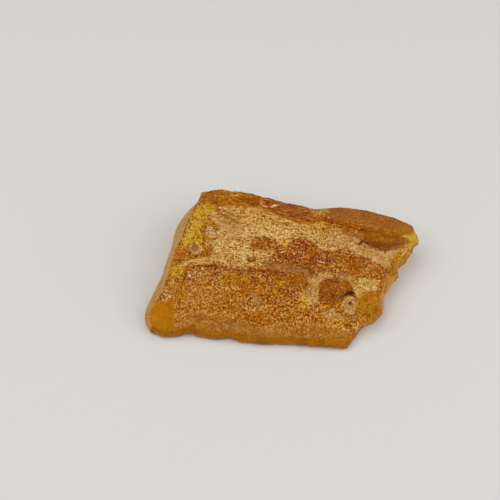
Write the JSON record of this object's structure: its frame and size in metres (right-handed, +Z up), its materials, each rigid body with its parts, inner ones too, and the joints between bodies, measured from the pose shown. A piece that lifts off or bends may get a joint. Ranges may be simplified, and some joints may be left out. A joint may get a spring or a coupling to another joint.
{
  "type": "raw copal",
  "caption": "Flat natural lump of raw copal resin with a granular crust, a ledge along its top, a raised rim at the back and clear golden broken edges; it rests on its flat underside.",
  "frame": {"origin": "middle of the lump's bounding box, on the surface that it rests on", "axes": "+X along the lump towards its pointed right end, +Y towards the high back rim, +Z up from the flat underside"},
  "size_m": [0.062, 0.0366, 0.0133],
  "materials": {
    "copal": "crusted translucent resin"
  },
  "bodies": {
    "root": {"raw_copal": "copal"}
  },
  "joints": []
}
